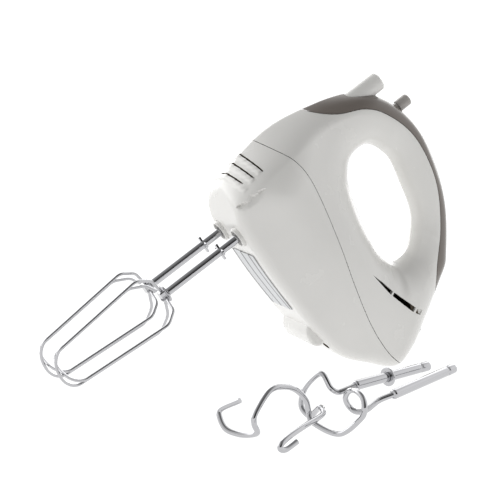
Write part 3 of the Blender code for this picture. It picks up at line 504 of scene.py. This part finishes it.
def wire(name, path, radius, place):
    """A round wire along the path, as a curve with a bevel and filled ends."""
    data = bpy.data.curves.new(name, "CURVE")
    data.dimensions = "3D"
    data.bevel_depth = radius / 1000
    data.bevel_resolution = 6
    data.use_fill_caps = True
    spline = data.splines.new("POLY")
    spline.points.add(len(path) - 1)
    for point, where in zip(spline.points, path):
        point.co = (*(place @ Vector(where)), 1)
    spline.use_smooth = True
    return data


# ---- housing ----------------------------------------------------------------------------------

def skin_object(name, field, spacing, columns, depth):
    """The closed skin of the housing, or the surface that far inside it, in millimetres."""
    turns = 2 * math.pi * np.arange(columns) / columns
    points = skin_points(field, OUTER.even_angles(spacing), turns, depth)
    rows = len(points)
    index = np.arange(rows * columns).reshape(rows, columns)
    a, b = index, np.roll(index, -1, 0)
    c, d = np.roll(b, -1, 1), np.roll(a, -1, 1)
    faces = np.concatenate([np.stack([a, b, c], -1).reshape(-1, 3), np.stack([a, c, d], -1).reshape(-1, 3)])
    corners = points.reshape(-1, 3)[faces]
    if np.linalg.det(corners).sum() < 0:
        faces = faces[:, ::-1]
    data = bpy.data.meshes.new(name)
    data.from_pydata(points.reshape(-1, 3), [], faces)
    return add_object(name, data)


def cutter(name, bm):
    bmesh.ops.recalc_face_normals(bm, faces=bm.faces)
    bmesh.ops.triangulate(bm, faces=bm.faces)
    data = bpy.data.meshes.new(name)
    bm.to_mesh(data)
    bm.free()
    return add_object(name, data)


def combine(obj, other, operation):
    modifier = obj.modifiers.new(other.name, "BOOLEAN")
    modifier.operation = operation
    modifier.object = other
    modifier.solver = "MANIFOLD"


def region(path, floor):
    """The flat area between a path across the mixer and a line well above or below it."""
    return [tuple(p) for p in path] + [(path[-1][0], floor), (path[0][0], floor)]


def region_cutter(name, path, floor):
    return cutter(name, shape(side_prism, region(path, floor), 70))


def field_normals(field, points):
    """Unit gradients of the field at the points."""
    step = 0.08
    gradient = []
    for axis in range(3):
        move = np.zeros(3)
        move[axis] = step
        ahead, behind = points + move, points - move
        gradient.append(field(*ahead.T) - field(*behind.T))
    gradient = np.stack(gradient, axis=-1)
    return gradient / np.maximum(np.linalg.norm(gradient, axis=1), 1e-9)[:, None]


PAINTED_SHADE_DEPTH = 1.2  # a face further below the skin than this gets the painted shade of the housing's inside


def shell_piece(name, obj, look, node):
    """A housing shell with its Booleans applied, the field's own normals on its skin, and painted shade on
    its inside faces.
    """
    graph = bpy.context.evaluated_depsgraph_get()
    data = bpy.data.meshes.new_from_object(obj.evaluated_get(graph))
    helpers = [modifier.object for modifier in obj.modifiers] + [obj]
    for helper in helpers:
        bpy.data.objects.remove(helper)
    data.shade_smooth()
    data.set_sharp_from_angle(angle=math.radians(30))
    points = np.empty(len(data.vertices) * 3)
    data.vertices.foreach_get("co", points)
    points = points.reshape(-1, 3)
    corner_vertex = np.empty(len(data.loops), int)
    data.loops.foreach_get("vertex_index", corner_vertex)
    flat = np.empty(len(data.polygons) * 3)
    data.polygons.foreach_get("normal", flat)
    sides = np.empty(len(data.polygons), int)
    data.polygons.foreach_get("loop_total", sides)
    flat = np.repeat(flat.reshape(-1, 3), sides, axis=0)
    smooth = field_normals(skin_field, points)
    on_skin = np.abs(skin_field(*points.T)) < 0.25
    wanted = smooth[corner_vertex]
    keep = on_skin[corner_vertex] & (np.einsum("ij,ij->i", wanted, flat) > 0.75)
    wanted[~keep] = 0
    data.normals_split_custom_set(wanted.tolist())
    # Faces well below the skin are picked out to take the painted shade of the housing's inside.
    centres = np.empty(len(data.polygons) * 3)
    data.polygons.foreach_get("center", centres)
    painted_shade_faces = skin_field(*centres.reshape(-1, 3).T) < -PAINTED_SHADE_DEPTH
    data.transform(MIXER)
    made = piece(name, data, look, "housing", node)
    # Painted shade: the picked inside faces get the dark inside look.
    data.materials.append(LOOKS["inside"])
    data.polygons.foreach_set("material_index", painted_shade_faces.astype(np.int32))
    return made


VENTS = [
    [(75, 62.2), (97, 67.0), (96.4, 69.8), (86, 66.6)],
    [(98.4, 67.6), (119.5, 75.4), (118.2, 78.8), (97.6, 70.4)],
    [(121, 76.4), (125, 79.0), (123.4, 82.4), (119.6, 79.6)],
]


def make_lower_housing(seam):
    lower = skin_object("lower_skin", skin_field, SKIN_SPACING, SKIN_COLUMNS, 0)
    combine(lower, region_cutter("below_seam", seam, -60), "INTERSECT")
    cavity = skin_object("lower_cavity", housing_field, CAVITY_SPACING, CAVITY_COLUMNS, WALL)
    combine(lower, cavity, "DIFFERENCE")
    for number, height in enumerate(LOUVRES):
        slot = shape(box, (-70, -LOUVRE_HALF_WIDTH, height - 0.7), (-30, LOUVRE_HALF_WIDTH, height + 0.5))
        combine(lower, cutter(f"louvre_{number}", slot), "DIFFERENCE")
    for side, sign in SIDES.items():
        centre = (0, sign * SPINDLE_SPACING / 2, 0)
        combine(lower, cutter(f"socket_{side}", shape(lathe, [(7.4, -30), (7.4, 20)], centre)), "DIFFERENCE")
        place = (SCREW_PLACE[0], sign * SCREW_PLACE[1], 0)
        post = shape(lathe, [(4.8, 13.6), (4.8, BOSS_BASE - GAP)], place, sides=32)
        combine(lower, cutter(f"post_{side}", post), "UNION")
        seat = SCREW_SEAT + GAP
        hole = shape(lathe, [(3.6, -30), (3.6, seat), (1.9, seat), (1.9, 60)], place, sides=32)
        combine(lower, cutter(f"screw_hole_{side}", hole), "DIFFERENCE")
    shell_piece("lower_shell", lower, "white", "lower_housing")


def make_upper_housing(seam, trim_edge):
    upper = skin_object("upper_skin", skin_field, SKIN_SPACING, SKIN_COLUMNS, 0)
    combine(upper, region_cutter("above_seam", moved_sideways(seam, GAP), 230), "INTERSECT")
    combine(upper, region_cutter("trim_place", moved_sideways(trim_edge, -GAP), 230), "DIFFERENCE")
    cavity = skin_object("upper_cavity", housing_field, CAVITY_SPACING, CAVITY_COLUMNS, WALL)
    combine(upper, cavity, "DIFFERENCE")
    for side, sign in SIDES.items():
        for number, outline in enumerate(VENTS):
            vent = shape(side_prism, rounded_profile(outline, 0.8, True), 12, sign * 29)
            combine(upper, cutter(f"vent_{side}_{number}", vent), "DIFFERENCE")
    inlet = shape(lathe, [(6.2, -30), (6.2, 20)], INLET_PLACE, INLET_DIRECTION)
    combine(upper, cutter("inlet", inlet), "DIFFERENCE")
    shell_piece("upper_shell", upper, "white", "upper_housing")


def make_trim(trim_edge):
    trim = skin_object("trim_skin", skin_field, SKIN_SPACING, SKIN_COLUMNS, 0)
    combine(trim, region_cutter("above_trim_edge", trim_edge, 230), "INTERSECT")
    cavity = skin_object("trim_cavity", housing_field, CAVITY_SPACING, CAVITY_COLUMNS, TRIM_WALL)
    combine(trim, cavity, "DIFFERENCE")
    hole_radius = EJECT_BUTTON_RADIUS + 0.5
    hole = shape(lathe, [(hole_radius, 100), (hole_radius, 170)], (EJECT_X, 0, 0))
    combine(trim, cutter("button_hole", hole), "DIFFERENCE")
    low = (KNOB_X - 5.2, -3.2, 130)
    high = (KNOB_X + KNOB_TRAVEL + 5.2, 3.2, 165)
    combine(trim, cutter("knob_slot", shape(box, low, high)), "DIFFERENCE")
    shell_piece("grip_trim", trim, "grey", "handle_trim")


def make_housing():
    seam = smooth_path(SEAM, 3)
    trim_edge = smooth_path(TRIM_EDGE, 3)
    make_lower_housing(seam)
    make_upper_housing(seam, trim_edge)
    make_trim(trim_edge)


def turned(name, profile, corner, look, body, node, centre, axis=(0, 0, 1), closed=False, place=MIXER):
    """A turned piece with its corners rounded."""
    bm = shape(lathe, rounded_profile(profile, corner, closed), centre, axis, closed=closed)
    return piece(name, mesh_of(name, bm, place), look, body, node)


def make_fittings():
    for side, sign in SIDES.items():
        centre = (0, sign * SPINDLE_SPACING / 2, 0)
        profile = [(5.9, -0.4), (7.2, -0.4), (7.2, 9.4), (7.9, 9.4), (7.9, 10.6), (5.9, 10.6)]
        turned(f"socket_ring_{side}", profile, 0.5, "white", "housing", f"socket_collar_{side}", centre,
               closed=True)

    foot = shape(side_prism, [(80, 6.0), (84, 3.0), (92.5, 3.0), (96.5, 6.5), (96.5, 14), (76, 11)], 20.5)
    data = mesh_of("rest_foot", foot, MIXER)
    made = piece("rest_foot", data, "white", "housing", "heel_foot")
    bevel = made.modifiers.new("soft_edges", "BEVEL")
    bevel.width = 0.0022
    bevel.segments = 5
    bevel.limit_method = "ANGLE"

    profile = [(3.0, -6), (5.8, -6), (5.8, 0.4), (5.0, 1.2), (3.0, 1.2)]
    turned("cord_gland", profile, 0.5, "rubber", "housing", "cord_grommet", INLET_PLACE, INLET_DIRECTION,
           True)

    low, top, radius = EJECT_FLANGE_LOW, EJECT_BUTTON_TOP, EJECT_BUTTON_RADIUS
    profile = [(8.0, low), (8.0, low + 2.6), (radius, low + 2.6), (radius, top - 1.5), (radius - 2.0, top),
               (0.05, top + 0.3)]
    turned("eject_cap", profile, 1.6, "white", "ejector", "eject_button", (EJECT_X, 0, 0))

    profile = [(2.8, -10.5), (2.8, 0.6), (4.1, 0.6), (4.1, 9.2), (3.4, 10.2), (0.05, 10.4)]
    turned("speed_peg", profile, 0.8, "peg", "speed_slider", "speed_knob", (KNOB_X, 0, KNOB_Z))


# ---- beaters ----------------------------------------------------------------------------------

def loop_path(angle, drop):
    """A wire loop through its profile and its mirror image, in a plane turned round the axis."""
    half = [(radius, z) for radius, z in LOOP_PROFILE]
    bottom = half[-1]
    depth = bottom[1] - (LOOP_TIP_Z + drop)
    for k in range(1, 16):
        turn = math.radians(90 * k / 16)
        half.append((bottom[0] * math.cos(turn) ** 0.9, bottom[1] - depth * math.sin(turn) ** 0.95))
    whole = half + [(0.0, LOOP_TIP_Z + drop)] + [(-radius, z) for radius, z in reversed(half)]
    path = [whole[0]]
    for before, here, after in zip(whole, whole[1:], whole[2:]):
        bend = (Vector(here) - Vector(before)).angle(Vector(after) - Vector(here))
        if bend < math.radians(14):
            path.append(here)
        else:
            path += rounded_profile([before, here, after], 3.2, steps=6)[1:-1]
    path.append(whole[-1])
    along = (math.cos(math.radians(angle)), math.sin(math.radians(angle)))
    return [(radius * along[0], radius * along[1], z) for radius, z in path]


def make_beater(side, sign):
    body = f"beater_{side}"
    centre = (0, sign * SPINDLE_SPACING / 2, 0)
    place = MIXER @ Matrix.Translation(centre)
    profile = [(0.05, HUB_Z), (BEATER_SHAFT_RADIUS, HUB_Z), (BEATER_SHAFT_RADIUS, BEATER_TOP - 2),
               (2.0, BEATER_TOP)]
    bm = shape(lathe, rounded_profile(profile, 0.4))
    wings = []
    for k in range(4):
        wings += arc(6.4, 90 * k - 15, 90 * k + 15, 9)
        wings += arc(3.5, 90 * k + 32, 90 * k + 58, 7)
    prism(bm, rounded_profile(wings, 0.5, True, 2), COLLAR_Z - 0.65, COLLAR_Z + 0.65)
    piece(f"whisk_shaft_{side}", mesh_of("whisk_shaft", bm, place), "chrome", body, f"beater_shaft_{side}")

    corner = [(3.6, 3.6), (-3.6, 3.6), (-3.6, -3.6), (3.6, -3.6)]
    bm = shape(prism, rounded_profile(corner, 1.0, True), HUB_Z - 5.9, HUB_Z - 0.4)
    disc = [(0.05, HUB_Z - 2.2), (6.3, HUB_Z - 2.2), (6.3, HUB_Z - 0.9), (0.05, HUB_Z - 0.9)]
    lathe(bm, rounded_profile(disc, 0.5))
    piece(f"whisk_hub_{side}", mesh_of("whisk_hub", bm, place), "chrome", body, f"beater_hub_{side}")
    for name, turn, drop in (("a", LOOP_ANGLE, 0.0), ("b", LOOP_ANGLE + 90, 2 * WIRE_RADIUS + 0.35)):
        data = wire(f"whisk_loop_{side}_{name}", loop_path(turn, drop), WIRE_RADIUS, place)
        piece(data.name, data, "chrome", body, f"beater_loop_{side}_{name}")


# ---- dough hooks ------------------------------------------------------------------------------

HOOK_SHAFT_RADIUS = 3.1
HOOK_ROD_RADIUS = 1.8
HOOK_COLLAR_RADIUS = 6.0
HOOK_COLLAR_PLACE = 0.56

# Each hook lies where its spiral stands on the table. The first two points are the ends of its
# shaft, and the rod runs on from there through the others: down one side of the spiral, up the other.
HOOK_RIGHT = [
    (72, -155, 33), (11.5, -174.5, 28.5), (5, -175.5, 26.5), (-0.5, -175.5, 25.5), (-5, -174.5, 28.5),
    (-9.5, -170, 36.5), (-15, -160, 26), (-16.5, -158, 14), (-13, -163.5, 8.5), (-12.5, -170, 13),
    (-13.5, -178.5, 17.5), (-15, -186, 17.5), (-18.5, -191, 15.5), (-35, -202, 12.5),
    (-47.5, -209, 9), (-54, -212.5, 6), (-55, -213, 3), (-51, -212, 2), (-42.5, -209, 5.5),
]
HOOK_LEFT = [
    (82, -170, 34), (26.5, -196.5, 26.5), (18.5, -194, 23), (12.5, -189.5, 16.5), (8.5, -184.5, 14.5),
    (5, -181.5, 17), (1.5, -182.5, 23), (0.5, -189.5, 29), (0, -199.5, 31.5), (1, -207, 29),
    (1, -210, 23), (0, -207.5, 16), (-6.5, -192, 3.5), (-16.5, -176, 7.5), (-18, -172, 13.5),
    (-20.5, -172.5, 21.5), (-29, -175, 29), (-39, -178.5, 32), (-49, -181.5, 30.5),
    (-59.5, -185.5, 18.5), (-60, -185.5, 12), (-56.5, -182.5, 6), (-58, -175.5, 3), (-62.5, -168, 2),
    (-68, -161.5, 4), (-70, -156.5, 10), (-69, -155, 15), (-61.5, -166.5, 22.5),
]


def make_hook(side, points):
    """One dough hook: a turned shaft with a snap groove and a bent rod."""
    body = f"hook_{side}"
    end, front = Vector(points[0]), Vector(points[1])
    along = front - end
    length = along.length
    r = HOOK_SHAFT_RADIUS
    profile = [(0.05, 0), (2.2, 0), (r, 0.9), (r, 7), (2.5, 7.3), (2.5, 8.5), (r, 8.8), (r, length - 1),
               (2.4, length), (0.05, length)]
    turned(f"dough_shaft_{side}", profile, 0.35, "chrome", body, f"hook_shaft_{side}", tuple(end),
           tuple(along), place=TABLE)
    rod = [tuple(front - along.normalized() * 2)] + points[2:]
    data = wire(f"dough_rod_{side}", smooth_path(rod, 1.1), HOOK_ROD_RADIUS, TABLE)
    piece(data.name, data, "chrome", body, f"hook_spiral_{side}")
    if side == "right":
        middle = end + along * HOOK_COLLAR_PLACE
        profile = [(r + 0.1, -0.8), (HOOK_COLLAR_RADIUS, -0.8), (HOOK_COLLAR_RADIUS, 0.8), (r + 0.1, 0.8)]
        turned("dough_collar", profile, 0.5, "chrome", body, "hook_collar", tuple(middle), tuple(along), True,
               TABLE)


# ---- stage ------------------------------------------------------------------------------------

FLOOR_GLOW = 1.0


def make_floor():
    """A light table, so that the floor stays white under the mixer."""
    bm = bmesh.new()
    bmesh.ops.create_grid(bm, x_segments=2, y_segments=2, size=14)
    data = bpy.data.meshes.new("floor")
    bm.to_mesh(data)
    bm.free()
    look = bpy.data.materials.new("floor_paint")
    look.use_nodes = True
    shader = look.node_tree.nodes["Principled BSDF"]
    shader.inputs["Base Color"].default_value = (0.12, 0.12, 0.12, 1)
    shader.inputs["Emission Color"].default_value = (1, 1, 1, 1)
    shader.inputs["Emission Strength"].default_value = FLOOR_GLOW
    shader.inputs["Roughness"].default_value = 0.9
    shader.inputs["Specular IOR Level"].default_value = 0.1
    data.materials.append(look)
    add_object("floor", data)


# Each part of the sky: its axis, where along it the light starts and is full, and its strength.
SKY_PARTS = [("Z", 0.2, 0.95, 0.25), ("Y", 0.15, 0.9, 2.4), ("X", 0.2, 0.9, 1.1), ("X", -0.3, -0.9, 0.8)]
SKY_DIM = 0.03


def make_sky():
    """A studio sky: softboxes behind and to both sides, dim on the camera's side."""
    world = bpy.data.worlds.new("studio")
    bpy.context.scene.world = world
    world.use_nodes = True
    tree = world.node_tree
    background = tree.nodes["Background"]
    background.inputs["Color"].default_value = (1, 1, 1, 1)
    coordinates = tree.nodes.new("ShaderNodeTexCoord")
    parts = tree.nodes.new("ShaderNodeSeparateXYZ")
    tree.links.new(coordinates.outputs["Generated"], parts.inputs["Vector"])
    total = None
    for axis, start, end, strength in SKY_PARTS:
        ramp = tree.nodes.new("ShaderNodeMapRange")
        ramp.interpolation_type = "SMOOTHSTEP"
        ramp.inputs["From Min"].default_value = start
        ramp.inputs["From Max"].default_value = end
        ramp.inputs["To Min"].default_value = SKY_DIM / len(SKY_PARTS)
        ramp.inputs["To Max"].default_value = strength
        tree.links.new(parts.outputs[axis], ramp.inputs["Value"])
        if total is None:
            total = ramp.outputs["Result"]
            continue
        add = tree.nodes.new("ShaderNodeMath")
        tree.links.new(total, add.inputs[0])
        tree.links.new(ramp.outputs["Result"], add.inputs[1])
        total = add.outputs["Value"]
    tree.links.new(total, background.inputs["Strength"])


def make_camera():
    azimuth, elevation, roll = (math.radians(a) for a in (-23.23, 9.45, 1.28))
    distance = 1.8
    back = Vector((math.sin(azimuth) * math.cos(elevation), -math.cos(azimuth) * math.cos(elevation),
                   math.sin(elevation)))
    right = Vector((0, 0, 1)).cross(back).normalized()
    up = back.cross(right)
    turned_right = right * math.cos(roll) + up * math.sin(roll)
    turned_up = up * math.cos(roll) - right * math.sin(roll)
    data = bpy.data.cameras.new("camera")
    data.lens = 195.05
    data.sensor_width = 36
    data.shift_x = 0.0432
    data.shift_y = -0.0302
    data.clip_end = 60
    camera = add_object("camera", data)
    target = MIXER.to_translation()
    turn = Matrix((turned_right, turned_up, back)).transposed().to_4x4()
    camera.matrix_world = Matrix.Translation(target + back * distance) @ turn
    bpy.context.scene.camera = camera


paint_cad_nodes()
make_housing()
make_fittings()
for which, direction in SIDES.items():
    make_beater(which, direction)
make_hook("left", HOOK_LEFT)
make_hook("right", HOOK_RIGHT)
make_floor()
make_sky()
make_camera()
bpy.context.scene.view_settings.view_transform = "Standard"
